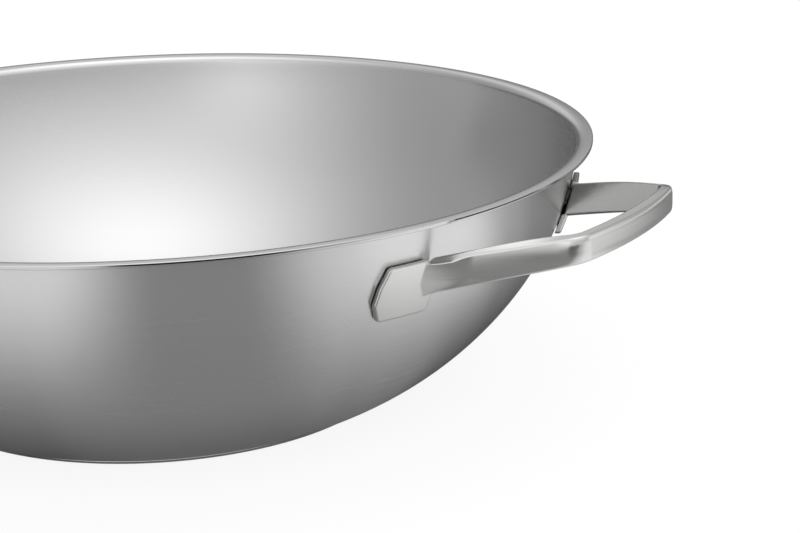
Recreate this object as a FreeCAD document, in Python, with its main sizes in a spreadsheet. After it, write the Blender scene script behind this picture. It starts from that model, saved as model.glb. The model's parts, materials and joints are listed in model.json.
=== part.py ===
# Large flat-bottomed wok pan: a three-layer pressed steel bowl with a pouring
# rim, a thin magnetic base disc, and two cast loop handles whose foot plates
# are projection-welded to the wall.
#
# Frame: origin on the surface the pan stands on, at the centre of the base.
# +Z is up, +X runs through the two handles.  Millimetres.
import FreeCAD, Part
import Sketcher
import math
import os

App = FreeCAD
V = App.Vector
doc = App.newDocument("wok_pan")

# ------------------------------------------------------------------ sizes
sheet = doc.addObject("Spreadsheet::Sheet", "Sizes")
SIZES = [
    # alias, value, meaning
    ("rim_radius", 180.0, "outside radius of the rim"),
    ("rim_height", 103.06, "rim top above the standing surface"),
    ("rim_edge_radius", 0.5, "outside radius of the rolled rim edge"),
    ("lip_radius", 2.0, "underside radius where the wall turns out into the rim"),
    ("floor_radius", 94.3, "radius of the flat bottom"),
    ("heel_radius", 12.0, "first wall arc, next to the flat bottom"),
    ("heel_angle", 24.68, "wall slope at the end of the first arc, degrees"),
    ("flank_radius", 137.18, "second wall arc"),
    ("flank_sweep", 28.86, "angle swept by the second arc, degrees"),
    ("upper_radius", 115.51, "third wall arc, up to the lip"),
    ("skin_inner", 0.4, "inner stainless layer"),
    ("skin_core", 0.8, "aluminium layer"),
    ("skin_outer", 0.3, "outer magnetic layer"),
    ("base_radius", 95.68, "base disc radius"),
    ("base_height", 1.6, "base disc thickness"),
    ("base_edge", 0.7, "base disc edge rounding"),
    ("foot_gap", 0.4, "standoff of the foot plates, filled by the weld projections"),
    ("foot_skin", 2.3, "foot plate thickness"),
    ("foot_azimuth", 22.7, "foot plate centre, degrees from the handle axis"),
    ("foot_low", 67.7, "foot plate lower edge, height"),
    ("foot_high", 88.4, "foot plate upper edge, height"),
    ("foot_away_top", 8.4, "foot plate upper corner, away side, from its centre"),
    ("foot_away_mid", 11.6, "foot plate away side at mid height"),
    ("foot_away_low", 12.7, "foot plate away side, widest point"),
    ("foot_away_base", 9.8, "foot plate lower corner, away side"),
    ("foot_near_low", 11.2, "foot plate lower corner, grip side"),
    ("foot_near_high", 12.1, "foot plate grip side, under the arm"),
    ("foot_near_step", 9.15, "foot plate grip side, inside the arm's lower edge"),
    ("foot_near_top", 12.2, "foot plate grip side, inside the arm's upper edge"),
    ("foot_mid_level", 81.2, "height of the away side's middle point"),
    ("foot_wide_level", 74.6, "height of the widest point"),
    ("foot_step_level", 76.1, "height where the arm takes over from the foot plate's grip side"),
    ("foot_corner", 2.6, "foot plate corner radius"),
    ("grip_reach", 217.5, "outer face of the grip from the pan's axis"),
    ("grip_bow", 196.0, "plan radius of the grip's outer face"),
    ("grip_depth", 4.6, "grip, radial size"),
    ("grip_inner_bow", 192.0, "plan radius of the grip's inner face"),
    ("bend_radius", 8.5, "outer bend radius in plan"),
    ("bend_inner_radius", 4.2, "inner bend radius in plan"),
    ("arm_station", 164.0, "where the arm's outer and inner lines are set out"),
    ("arm_half_span", 57.0, "outer line, distance from the handle axis at that station"),
    ("arm_splay", 18.8, "outer line angle to the handle axis, degrees"),
    ("arm_inner_span", 54.7, "inner line, distance from the handle axis at that station"),
    ("arm_inner_splay", 21.0, "inner line angle to the handle axis, degrees"),
    ("arm_top", 89.1, "arm top at the station, height"),
    ("arm_bottom", 75.7, "arm underside at the station, height"),
    ("grip_top", 98.1, "grip top, height"),
    ("grip_bottom", 87.9, "grip underside, height"),
    ("bend_station", 213.0, "where the rising arm meets the level grip"),
    ("bend_soft", 20.0, "side view radius between arm and grip"),
    ("handle_round", 0.6, "rounding of the strip's long edges"),
    ("foot_round", 0.8, "rounding of the foot plates' outer edges"),
    ("stud_radius", 2.75, "weld projection radius"),
    ("stud_away", 6.6, "weld projections, away side, from the foot plate's centre"),
    ("stud_near", -6.0, "weld projections, grip side, from the foot plate's centre"),
    ("stud_high", 82.6, "upper weld projections, height"),
    ("stud_low", 73.0, "lower weld projections, height"),
]
VAL = {}
for row, (alias, value, meaning) in enumerate(SIZES, start=1):
    sheet.set("A%d" % row, alias)
    sheet.set("B%d" % row, repr(value))
    sheet.set("C%d" % row, meaning)
    sheet.setAlias("B%d" % row, alias)
    VAL[alias] = value
doc.recompute()


def val(alias):
    return float(sheet.get(alias))


def ref(alias):
    return "Sizes." + alias


SKIN = "(Sizes.skin_inner + Sizes.skin_core + Sizes.skin_outer)"


def deg(expr):
    return "(%s) * 1 deg" % expr


# ------------------------------------------------------- sketch helpers
class Draft:
    """Collects geometry and named, sheet-bound constraints for one sketch."""

    def __init__(self, sk):
        self.sk = sk
        self.count = 0

    def line(self, a, b):
        return self.sk.addGeometry(Part.LineSegment(V(a[0], a[1], 0), V(b[0], b[1], 0)), False)

    def arc(self, c, r, a0, a1):
        """Counter-clockwise arc, angles in degrees; point 1 at a0, 2 at a1."""
        circle = Part.Circle(V(c[0], c[1], 0), V(0, 0, 1), r)
        return self.sk.addGeometry(
            Part.ArcOfCircle(circle, math.radians(a0), math.radians(a1)), False)

    def rule(self, *args):
        return self.sk.addConstraint(Sketcher.Constraint(*args))

    def bind(self, expr, *args):
        i = self.sk.addConstraint(Sketcher.Constraint(*args))
        self.count += 1
        name = "d%02d" % self.count
        self.sk.renameConstraint(i, name)
        self.sk.setExpression("Constraints." + name, expr)
        return i

    def at(self, geo, pos, xexpr, xnum, yexpr, ynum):
        """Fix a point by its two coordinates; zero goes on the axis."""
        for kind, expr, num, axis in (("DistanceX", xexpr, xnum, -2), ("DistanceY", yexpr, ynum, -1)):
            if expr is None:
                self.rule("PointOnObject", geo, pos, axis)
            else:
                self.bind(expr, kind, -1, 1, geo, pos, num)


def body(name):
    b = doc.addObject("PartDesign::Body", name)
    b.Label = name
    return b


def plane(b, role):
    for f in b.Origin.OriginFeatures:
        if f.Role == role:
            return f


def body_sketch(b, name, role):
    sk = b.newObject("Sketcher::SketchObject", name)
    sk.AttachmentSupport = [(plane(b, role), "")]
    sk.MapMode = "FlatFace"
    return sk


# ------------------------------------------------------------ bowl profile
# The wall is three tangent arcs.  Every layer surface keeps the same arc
# centres, so a surface lying s inside the outer one has radii smaller by s.
def profile_numbers(s):
    """Centres, radii and joints of the wall surface lying s inside."""
    t = val("skin_inner") + val("skin_core") + val("skin_outer")
    z0 = val("base_height")
    r0, r1, r2, r3, r4 = (val(k) for k in (
        "floor_radius", "heel_radius", "flank_radius", "upper_radius", "lip_radius"))
    a1 = val("heel_angle")
    a2 = a1 + val("flank_sweep")
    s1, c1 = math.sin(math.radians(a1)), math.cos(math.radians(a1))
    s2, c2 = math.sin(math.radians(a2)), math.cos(math.radians(a2))
    k1 = (r0, z0 + r1)
    k2 = (k1[0] + (r1 - r2) * s1, k1[1] - (r1 - r2) * c1)
    k3 = (k2[0] + (r2 - r3) * s2, k2[1] - (r2 - r3) * c2)
    a3 = math.degrees(math.acos((k3[1] + r4 + t - val("rim_height")) / (r3 + r4)))
    s3, c3 = math.sin(math.radians(a3)), math.cos(math.radians(a3))
    k4 = (k3[0] + (r3 + r4) * s3, k3[1] - (r3 + r4) * c3)
    return dict(z=z0 + s, r0=r0, k=(k1, k2, k3, k4), a=(a1, a2, a3),
                r=(r1 - s, r2 - s, r3 - s, r4 + s), flat=k4[1] + r4 + s)


def wall_chain(d, s_expr, s):
    """Draws floor line, three wall arcs and the lip arc of one surface.

    Returns the first line and the lip arc (whose point 1 is its rim end)."""
    n = profile_numbers(s)
    a1, a2, a3 = n["a"]
    g0 = d.line((0, n["z"]), (n["r0"], n["z"]))
    g1 = d.arc(n["k"][0], n["r"][0], -90, -90 + a1)
    g2 = d.arc(n["k"][1], n["r"][1], -90 + a1, -90 + a2)
    g3 = d.arc(n["k"][2], n["r"][2], -90 + a2, -90 + a3)
    g4 = d.arc(n["k"][3], n["r"][3], 90, 90 + a3)
    d.rule("Horizontal", g0)
    d.at(g0, 1, None, 0, "%s + %s" % (ref("base_height"), s_expr), n["z"])
    d.bind(ref("floor_radius"), "DistanceX", g0, 1, g0, 2, n["r0"])
    d.rule("Tangent", g0, 2, g1, 1)
    d.rule("Tangent", g1, 2, g2, 1)
    d.rule("Tangent", g2, 2, g3, 1)
    d.rule("Tangent", g3, 2, g4, 2)
    d.bind("%s - %s" % (ref("heel_radius"), s_expr), "Radius", g1, n["r"][0])
    d.bind("%s - %s" % (ref("flank_radius"), s_expr), "Radius", g2, n["r"][1])
    d.bind("%s - %s" % (ref("upper_radius"), s_expr), "Radius", g3, n["r"][2])
    d.bind("%s + %s" % (ref("lip_radius"), s_expr), "Radius", g4, n["r"][3])
    d.bind(deg(ref("heel_angle")), "Angle", g1, math.radians(a1))
    d.bind(deg(ref("flank_sweep")), "Angle", g2, math.radians(a2 - a1))
    return g0, g4, n


def layer(name, lo_expr, lo, hi_expr, hi, rim):
    """One bowl layer, between the surfaces lying lo and hi inside the outside."""
    b = body(name)
    sk = body_sketch(b, name + "_profile", "XZ_Plane")
    d = Draft(sk)
    R, H, q = val("rim_radius"), val("rim_height"), val("rim_edge_radius")
    ti = val("skin_inner")
    f0, f4, nf = wall_chain(d, lo_expr, lo)
    h0, h4, nh = wall_chain(d, hi_expr, hi)
    zlo, zhi = nf["flat"], nh["flat"]
    xs = nf["k"][3][0]
    axis = d.line((0, zhi_floor(nh)), (0, zhi_floor(nf)))
    d.rule("Coincident", axis, 1, h0, 1)
    d.rule("Coincident", axis, 2, f0, 1)
    if rim == "wrap":
        # the inner layer rolls over the rim and covers the other two
        top = d.line((xs, H), (R - q, H))
        edge = d.arc((R - q, H - q), q, 0, 90)
        t_all = val("skin_inner") + val("skin_core") + val("skin_outer")
        side = d.line((R, H - q), (R, H - t_all))
        foot = d.line((R, H - t_all), (R - ti, H - t_all))
        back = d.line((R - ti, H - t_all), (R - ti, H - q))
        inner = d.arc((R - q, H - q), q - ti, 0, 90)
        under = d.line((R - q, H - ti), (xs, H - ti))
        d.rule("Tangent", h4, 1, top, 1)
        d.rule("Horizontal", top)
        d.rule("Tangent", top, 2, edge, 2)
        d.rule("Tangent", edge, 1, side, 1)
        d.rule("Vertical", side)
        d.rule("Coincident", side, 2, foot, 1)
        d.rule("Horizontal", foot)
        d.rule("Coincident", foot, 2, back, 1)
        d.rule("Vertical", back)
        d.rule("Tangent", back, 2, inner, 1)
        d.rule("Tangent", inner, 2, under, 1)
        d.rule("Horizontal", under)
        d.rule("Tangent", under, 2, f4, 1)
        d.bind(ref("rim_radius"), "DistanceX", -1, 1, side, 2, R)
        d.bind("%s - %s" % (ref("rim_height"), SKIN), "DistanceY", -1, 1, side, 2, H - t_all)
        d.bind(ref("rim_height"), "DistanceY", -1, 1, top, 2, H)
        d.bind(ref("rim_edge_radius"), "Radius", edge, q)
        d.bind(ref("skin_inner"), "DistanceX", foot, 2, foot, 1, ti)
        d.bind("%s - %s" % (ref("rim_edge_radius"), ref("skin_inner")), "Radius", inner, q - ti)
        d.bind("%s - %s" % (ref("rim_height"), ref("skin_inner")), "DistanceY", -1, 1, under, 2, H - ti)
    elif rim == "core":
        to = val("skin_outer")
        tc = val("skin_core")
        top = d.line((xs, zhi), (R - q, zhi))
        edge = d.arc((R - q, H - q), q - ti, 0, 90)
        side = d.line((R - ti, H - q), (R - ti, zlo))
        under = d.line((R - ti, zlo), (xs, zlo))
        d.rule("Tangent", h4, 1, top, 1)
        d.rule("Horizontal", top)
        d.rule("Tangent", top, 2, edge, 2)
        d.rule("Tangent", edge, 1, side, 1)
        d.rule("Vertical", side)
        d.rule("Coincident", side, 2, under, 1)
        d.rule("Horizontal", under)
        d.rule("Tangent", under, 2, f4, 1)
        d.bind("%s - %s" % (ref("rim_radius"), ref("skin_inner")), "DistanceX", -1, 1, side, 2, R - ti)
        d.bind("%s - %s - %s" % (ref("rim_height"), ref("skin_inner"), ref("skin_core")),
               "DistanceY", -1, 1, side, 2, zlo)
        d.bind("%s - %s" % (ref("rim_height"), ref("skin_inner")), "DistanceY", -1, 1, top, 2, zhi)
        d.bind("%s - %s" % (ref("rim_edge_radius"), ref("skin_inner")), "Radius", edge, q - ti)
    else:
        top = d.line((xs, zhi), (R - ti, zhi))
        side = d.line((R - ti, zhi), (R - ti, zlo))
        under = d.line((R - ti, zlo), (xs, zlo))
        d.rule("Tangent", h4, 1, top, 1)
        d.rule("Horizontal", top)
        d.rule("Coincident", top, 2, side, 1)
        d.rule("Vertical", side)
        d.rule("Coincident", side, 2, under, 1)
        d.rule("Horizontal", under)
        d.rule("Tangent", under, 2, f4, 1)
        d.bind("%s - %s" % (ref("rim_radius"), ref("skin_inner")), "DistanceX", -1, 1, side, 2, R - ti)
        d.bind("%s - %s" % (ref("rim_height"), SKIN), "DistanceY", -1, 1, side, 2, zlo)
        d.bind("%s - %s + %s" % (ref("rim_height"), SKIN, ref("skin_outer")),
               "DistanceY", -1, 1, side, 1, zhi)
    doc.recompute()
    rev = b.newObject("PartDesign::Revolution", name + "_turn")
    rev.Profile = sk
    rev.ReferenceAxis = (sk, ["V_Axis"])
    rev.Angle = 360.0
    b.Tip = rev
    doc.recompute()
    return b


def zhi_floor(n):
    return n["z"]


to, tc, ti = val("skin_outer"), val("skin_core"), val("skin_inner")
outer = layer("bowl_outer_skin", "0", 0.0, ref("skin_outer"), to, "plain")
core = layer("bowl_core", ref("skin_outer"), to,
             "(%s + %s)" % (ref("skin_outer"), ref("skin_core")), to + tc, "core")
inner = layer("bowl_inner_skin", "(%s + %s)" % (ref("skin_outer"), ref("skin_core")), to + tc,
              SKIN, to + tc + ti, "wrap")

# ------------------------------------------------------------ base disc
base = body("base_plate")
sk = body_sketch(base, "base_outline", "XY_Plane")
d = Draft(sk)
g = sk.addGeometry(Part.Circle(V(0, 0, 0), V(0, 0, 1), val("base_radius")), False)
d.rule("Coincident", g, 3, -1, 1)
d.bind(ref("base_radius"), "Radius", g, val("base_radius"))
pad = base.newObject("PartDesign::Pad", "base_pad")
pad.Profile = sk
pad.Length = val("base_height")
pad.setExpression("Length", ref("base_height"))
base.Tip = pad
doc.recompute()
edge_names = []
for i, e in enumerate(pad.Shape.Edges, start=1):
    if isinstance(e.Curve, Part.Circle):
        edge_names.append("Edge%d" % i)
rnd = base.newObject("PartDesign::Fillet", "base_round")
rnd.Base = (pad, edge_names)
rnd.Radius = val("base_edge")
rnd.setExpression("Radius", ref("base_edge"))
base.Tip = rnd
doc.recompute()


# ------------------------------------------------------------ handles
def free_sketch(name, placement):
    sk = doc.addObject("Sketcher::SketchObject", name)
    sk.Placement = placement
    return sk


XZ = App.Placement(V(0, 0, 0), App.Rotation(V(1, 0, 0), 90))


def shell_band(name, lo_expr, lo, hi_expr, hi):
    """Ring between two surfaces standing lo and hi off the wall's outside."""
    sk = free_sketch(name + "_section", XZ)
    d = Draft(sk)
    nl, nh = profile_numbers(-lo), profile_numbers(-hi)
    a1, a2, a3 = nl["a"]
    # the band uses the second and third wall arcs only; it is trimmed later
    parts = []
    for off_expr, off, n in ((lo_expr, lo, nl), (hi_expr, hi, nh)):
        g1 = d.arc(n["k"][0], n["r"][0], -90, -90 + a1)
        g2 = d.arc(n["k"][1], n["r"][1], -90 + a1, -90 + a2)
        g3 = d.arc(n["k"][2], n["r"][2], -90 + a2, -90 + 82.0)
        d.bind(ref("floor_radius"), "DistanceX", -1, 1, g1, 3, n["k"][0][0])
        d.bind("%s + %s" % (ref("base_height"), ref("heel_radius")), "DistanceY", -1, 1, g1, 3, n["k"][0][1])
        d.bind("%s + %s" % (ref("heel_radius"), off_expr), "Radius", g1, n["r"][0])
        d.bind(deg(ref("heel_angle")), "Angle", g1, math.radians(a1))
        d.rule("Vertical", g1, 3, g1, 1)
        d.rule("Tangent", g1, 2, g2, 1)
        d.rule("Tangent", g2, 2, g3, 1)
        d.bind("%s + %s" % (ref("flank_radius"), off_expr), "Radius", g2, n["r"][1])
        d.bind("%s + %s" % (ref("upper_radius"), off_expr), "Radius", g3, n["r"][2])
        d.bind(deg(ref("flank_sweep")), "Angle", g2, math.radians(a2 - a1))
        d.bind(deg("82 - %s - %s" % (ref("heel_angle"), ref("flank_sweep"))), "Angle", g3,
               math.radians(82.0 - a2))
        parts.append((g1, g3, n))
    (p1, p3, n1), (q1, q3, n2) = parts

    def pt(n, k, ang, r):
        return (n["k"][k][0] + r * math.sin(math.radians(ang)),
                n["k"][k][1] - r * math.cos(math.radians(ang)))
    a = d.line(pt(n1, 2, 82, n1["r"][2]), pt(n2, 2, 82, n2["r"][2]))
    d.rule("Coincident", a, 1, p3, 2)
    d.rule("Coincident", a, 2, q3, 2)
    c = d.line(pt(n1, 0, 0, n1["r"][0]), pt(n2, 0, 0, n2["r"][0]))
    d.rule("Coincident", c, 1, p1, 1)
    d.rule("Coincident", c, 2, q1, 1)
    doc.recompute()
    rv = doc.addObject("Part::Revolution", name)
    rv.Source = sk
    rv.Axis = V(0, 0, 1)
    rv.Base = V(0, 0, 0)
    rv.Angle = 360.0
    rv.Solid = True
    return rv


def keep_out(name):
    """Solid of revolution filling the pan out to the foot plates' back face."""
    sk = free_sketch(name + "_section", XZ)
    d = Draft(sk)
    gap = val("foot_gap")
    n = profile_numbers(-gap)
    a1, a2, a3 = n["a"]
    g1 = d.arc(n["k"][0], n["r"][0], -90, -90 + a1)
    g2 = d.arc(n["k"][1], n["r"][1], -90 + a1, -90 + a2)
    g3 = d.arc(n["k"][2], n["r"][2], -90 + a2, -90 + 82.0)
    d.bind(ref("floor_radius"), "DistanceX", -1, 1, g1, 3, n["k"][0][0])
    d.bind("%s + %s" % (ref("base_height"), ref("heel_radius")), "DistanceY", -1, 1, g1, 3, n["k"][0][1])
    d.bind("%s + %s" % (ref("heel_radius"), ref("foot_gap")), "Radius", g1, n["r"][0])
    d.bind(deg(ref("heel_angle")), "Angle", g1, math.radians(a1))
    d.rule("Vertical", g1, 3, g1, 1)
    d.rule("Tangent", g1, 2, g2, 1)
    d.rule("Tangent", g2, 2, g3, 1)
    d.bind("%s + %s" % (ref("flank_radius"), ref("foot_gap")), "Radius", g2, n["r"][1])
    d.bind("%s + %s" % (ref("upper_radius"), ref("foot_gap")), "Radius", g3, n["r"][2])
    d.bind(deg(ref("flank_sweep")), "Angle", g2, math.radians(a2 - a1))
    d.bind(deg("82 - %s - %s" % (ref("heel_angle"), ref("flank_sweep"))), "Angle", g3,
           math.radians(82.0 - a2))
    zt = n["k"][2][1] - n["r"][2] * math.cos(math.radians(82.0))
    xt = n["k"][2][0] + n["r"][2] * math.sin(math.radians(82.0))
    zb = n["k"][0][1] - n["r"][0]
    top = d.line((xt, zt), (0, zt))
    axis = d.line((0, zt), (0, zb))
    low = d.line((0, zb), (n["k"][0][0], zb))
    d.rule("Coincident", top, 1, g3, 2)
    d.rule("Horizontal", top)
    d.rule("PointOnObject", top, 2, -2)
    d.rule("Coincident", axis, 1, top, 2)
    d.rule("Coincident", axis, 2, low, 1)
    d.rule("PointOnObject", low, 1, -2)
    d.rule("Horizontal", low)
    d.rule("Coincident", low, 2, g1, 1)
    doc.recompute()
    rv = doc.addObject("Part::Revolution", name)
    rv.Source = sk
    rv.Axis = V(0, 0, 1)
    rv.Base = V(0, 0, 0)
    rv.Angle = 360.0
    rv.Solid = True
    return rv


def extrude(name, source, direction, fwd, rev=0.0):
    ex = doc.addObject("Part::Extrusion", name)
    ex.Base = source
    ex.DirMode = "Custom"
    ex.Dir = direction
    ex.LengthFwd = fwd
    ex.LengthRev = rev
    ex.Solid = True
    return ex


def fillet_corner(p, a, b, r):
    """Tangent points and centre of a rounded corner p between points a and b."""
    ua = (V(a[0], a[1], 0) - V(p[0], p[1], 0)).normalize()
    ub = (V(b[0], b[1], 0) - V(p[0], p[1], 0)).normalize()
    half = ua.getAngle(ub) / 2
    t = r / math.tan(half)
    bis = (ua + ub).normalize()
    c = V(p[0], p[1], 0) + bis * (r / math.sin(half))
    return (V(p[0], p[1], 0) + ua * t, V(p[0], p[1], 0) + ub * t, c)


def foot_outline(name, side):
    """Foot plate outline, drawn on the plane facing out at the foot's azimuth.

    Sketch x is the distance from the plate's centre, positive away from the
    grip on the +Y side; y is the height."""
    az = side * val("foot_azimuth")
    rot = App.Rotation(V(0, 0, 1), 90 + az).multiply(App.Rotation(V(1, 0, 0), 90))
    sk = free_sketch(name, App.Placement(V(0, 0, 0), rot))
    sk.setExpression("Placement.Rotation.Angle", None)
    d = Draft(sk)
    s = side
    pts = [  # (x alias, sign, y alias), corner order
        ("foot_away_top", 1, "foot_high", True),
        ("foot_away_mid", 1, "foot_mid_level", False),
        ("foot_away_low", 1, "foot_wide_level", True),
        ("foot_away_base", 1, "foot_low", True),
        ("foot_near_low", -1, "foot_low", True),
        ("foot_near_high", -1, "foot_step_level", False),
        ("foot_near_step", -1, "foot_step_level", False),
        ("foot_near_top", -1, "foot_high", False),
    ]
    xy = [(s * k * val(a), val(b)) for a, k, b, _ in pts]
    nums = len(xy)
    corner_r = val("foot_corner")
    # straight runs between rounded corners; the corner points themselves are
    # construction points fixed from the sheet
    cpts = []
    for (a, k, b, rounded), p in zip(pts, xy):
        g = sk.addGeometry(Part.Point(V(p[0], p[1], 0)), True)
        sx = s * k
        # signed distance from the origin
        if sx > 0:
            d.bind(ref(a), "DistanceX", -1, 1, g, 1, abs(p[0]))
        else:
            d.bind(ref(a), "DistanceX", g, 1, -1, 1, abs(p[0]))
        d.bind(ref(b), "DistanceY", -1, 1, g, 1, p[1])
        cpts.append(g)
    starts, ends, arcs = {}, {}, {}
    for i, (a, k, b, rounded) in enumerate(pts):
        if rounded:
            p, q, c = fillet_corner(xy[i], xy[i - 1], xy[(i + 1) % nums], corner_r)
            a0 = math.degrees(math.atan2(p.y - c.y, p.x - c.x))
            a1 = math.degrees(math.atan2(q.y - c.y, q.x - c.x))
            ccw = (a1 - a0) % 360.0 < 180.0
            if not ccw:
                a0, a1 = a1, a0
            while a1 < a0:
                a1 += 360.0
            g = d.arc((c.x, c.y), corner_r, a0, a1)
            arcs[i] = (g, 1 if ccw else 2, 2 if ccw else 1)
            ends[i], starts[i] = (p.x, p.y), (q.x, q.y)
        else:
            ends[i], starts[i] = xy[i], xy[i]
    lines = []
    for i in range(nums):
        j = (i + 1) % nums
        lines.append(d.line(starts[i], ends[j]))
    first_radius = None
    for i in range(nums):
        before, after = lines[i - 1], lines[i]
        if i in arcs:
            g, pin, pout = arcs[i]
            d.rule("Tangent", before, 2, g, pin)
            d.rule("Tangent", g, pout, after, 1)
            d.bind(ref("foot_corner"), "Radius", g, corner_r)
            d.rule("PointOnObject", cpts[i], 1, before)
            d.rule("PointOnObject", cpts[i], 1, after)
        else:
            d.rule("Coincident", before, 2, cpts[i], 1)
            d.rule("Coincident", after, 1, cpts[i], 1)
    doc.recompute()
    return sk


def arm_plan(name):
    """Plan outline of the bent strip, symmetric about the handle axis."""
    sk = free_sketch(name, App.Placement())
    d = Draft(sk)
    x0 = 150.0

    def side_numbers(station, span, splay, radius, reach, bow):
        a = math.radians(splay)
        # foot end of the line, inside the wall
        foot = (x0, span + (station - x0) * math.tan(a))
        kx = reach - bow                     # centre of the bowed grip face
        # fillet centre: distance radius inside the line and radius inside the bow
        nx, ny = -math.sin(a), -math.cos(a)  # towards the handle axis
        px, py = foot[0] + nx * radius, foot[1] + ny * radius
        dx, dy = math.cos(a), -math.sin(a)
        # point on that parallel at distance bow - radius from (kx, 0)
        bx, by = px - kx, py
        B = bx * dx + by * dy
        C = bx * bx + by * by - (bow - radius) ** 2
        t = -B + math.sqrt(B * B - C)
        c = (px + t * dx, py + t * dy)
        t1 = (c[0] - nx * radius, c[1] - ny * radius)
        u = V(c[0] - kx, c[1], 0).normalize()
        t2 = (kx + u.x * bow, u.y * bow)
        return foot, t1, c, t2, kx

    def draw(station, span, splay, radius, reach_expr, reach, bow):
        st, sp, an, ra, bo = val(station), val(span), val(splay), val(radius), val(bow)
        foot, t1, c, t2, kx = side_numbers(st, sp, an, ra, reach, bo)
        ang = math.degrees(math.atan2(t2[1], t2[0] - kx))
        grip = d.arc((kx, 0), bo, -ang, ang)          # 1 at -Y end, 2 at +Y end
        up = math.degrees(math.atan2(t1[1] - c[1], t1[0] - c[0]))
        bend_p = d.arc(c, ra, ang, up)                 # +Y bend: 1 at grip, 2 at arm
        bend_n = d.arc((c[0], -c[1]), ra, -up, -ang)   # -Y bend: 1 at arm, 2 at grip
        line_p = d.line(t1, foot)
        line_n = d.line((foot[0], -foot[1]), (t1[0], -t1[1]))
        d.rule("PointOnObject", grip, 3, -1)
        d.bind("%s - %s" % (ref(bow), reach_expr), "DistanceX", grip, 3, -1, 1, bo - reach)
        d.bind(ref(bow), "Radius", grip, bo)
        d.rule("Tangent", grip, 2, bend_p, 1)
        d.rule("Tangent", bend_p, 2, line_p, 1)
        d.rule("Tangent", bend_n, 2, grip, 1)
        d.rule("Tangent", line_n, 2, bend_n, 1)
        d.bind(ref(radius), "Radius", bend_p, ra)
        d.bind(ref(radius), "Radius", bend_n, ra)
        foot_expr = "%s + (%s - 150) * tan(%s)" % (ref(span), ref(station), deg(ref(splay)))
        d.bind("150", "DistanceX", -1, 1, line_p, 2, x0)
        d.bind(foot_expr, "DistanceY", -1, 1, line_p, 2, foot[1])
        d.bind("150", "DistanceX", -1, 1, line_n, 1, x0)
        d.bind(foot_expr, "DistanceY", line_n, 1, -1, 1, foot[1])
        d.bind(deg("180 - " + ref(splay)), "Angle", line_p, math.radians(180 - an))
        d.bind(deg(ref(splay)), "Angle", line_n, math.radians(an))
        return line_p, line_n, foot
    lp, ln, fo = draw("arm_station", "arm_half_span", "arm_splay", "bend_radius",
                      ref("grip_reach"), val("grip_reach"), "grip_bow")
    ip, im, fi = draw("arm_station", "arm_inner_span", "arm_inner_splay", "bend_inner_radius",
                      "(%s - %s)" % (ref("grip_reach"), ref("grip_depth")),
                      val("grip_reach") - val("grip_depth"), "grip_inner_bow")
    e1 = d.line((fo[0], fo[1]), (fi[0], fi[1]))
    d.rule("Coincident", e1, 1, lp, 2)
    d.rule("Coincident", e1, 2, ip, 2)
    e2 = d.line((fo[0], -fo[1]), (fi[0], -fi[1]))
    d.rule("Coincident", e2, 1, ln, 1)
    d.rule("Coincident", e2, 2, im, 1)
    doc.recompute()
    return sk


def arm_side(name):
    """Side outline: the arms rise to the bend, then the grip runs level."""
    sk = free_sketch(name, XZ)
    d = Draft(sk)
    x0, x1 = 150.0, 226.0
    st, be, ra = val("arm_station"), val("bend_station"), val("bend_soft")

    def rail(low_alias, high_alias):
        zl, zh = val(low_alias), val(high_alias)
        slope = (zh - zl) / (be - st)
        a = math.atan(slope)
        start = (x0, zl - (st - x0) * slope)
        t = ra * math.tan(a / 2)
        p = (be - t * math.cos(a), zh - t * math.sin(a))
        q = (be + t, zh)
        c = (be + t, zh - ra)
        l1 = d.line(start, p)
        ar = d.arc(c, ra, 90, 90 + math.degrees(a))
        l2 = d.line(q, (x1, zh))
        d.bind("150", "DistanceX", -1, 1, l1, 1, x0)
        expr = "%s - (%s - 150) * (%s - %s) / (%s - %s)" % (
            ref(low_alias), ref("arm_station"), ref(high_alias), ref(low_alias),
            ref("bend_station"), ref("arm_station"))
        d.bind(expr, "DistanceY", -1, 1, l1, 1, start[1])
        d.bind("atan((%s - %s) / (%s - %s))" % (
            ref(high_alias), ref(low_alias), ref("bend_station"), ref("arm_station")),
            "Angle", l1, a)
        d.rule("Tangent", l1, 2, ar, 2)
        d.rule("Tangent", ar, 1, l2, 1)
        d.rule("Horizontal", l2)
        d.bind(ref("bend_soft"), "Radius", ar, ra)
        d.bind("226", "DistanceX", -1, 1, l2, 2, x1)
        d.bind(ref(high_alias), "DistanceY", -1, 1, l2, 2, zh)
        return l1, l2, start, (x1, zh)
    t1, t2, ts, te = rail("arm_top", "grip_top")
    b1, b2, bs, bend = rail("arm_bottom", "grip_bottom")
    a = d.line(ts, bs)
    d.rule("Coincident", a, 1, t1, 1)
    d.rule("Coincident", a, 2, b1, 1)
    c = d.line(te, bend)
    d.rule("Coincident", c, 1, t2, 2)
    d.rule("Coincident", c, 2, b2, 2)
    doc.recompute()
    return sk


band = shell_band("foot_band", ref("foot_gap"), val("foot_gap"),
                  "(%s + %s)" % (ref("foot_gap"), ref("foot_skin")),
                  val("foot_gap") + val("foot_skin"))
inside = keep_out("pan_clearance")
plan = extrude("strip_plan", arm_plan("strip_outline"), V(0, 0, 1), 140.0)
side = extrude("strip_side", arm_side("strip_profile"), V(0, 1, 0), 90.0, 90.0)
strip = doc.addObject("Part::Common", "strip")
strip.Base, strip.Tool = plan, side
doc.recompute()


def mid_point(e):
    return e.valueAt((e.FirstParameter + e.LastParameter) / 2)


def rounded(name, source, edges, alias):
    """Part::Fillet on the listed edges; OCC rounds all of them by one radius."""
    f = doc.addObject("Part::Fillet", name)
    f.Base = source
    r = val(alias)
    f.Edges = [(i, r, r) for i in edges]
    doc.recompute()
    return f


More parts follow.
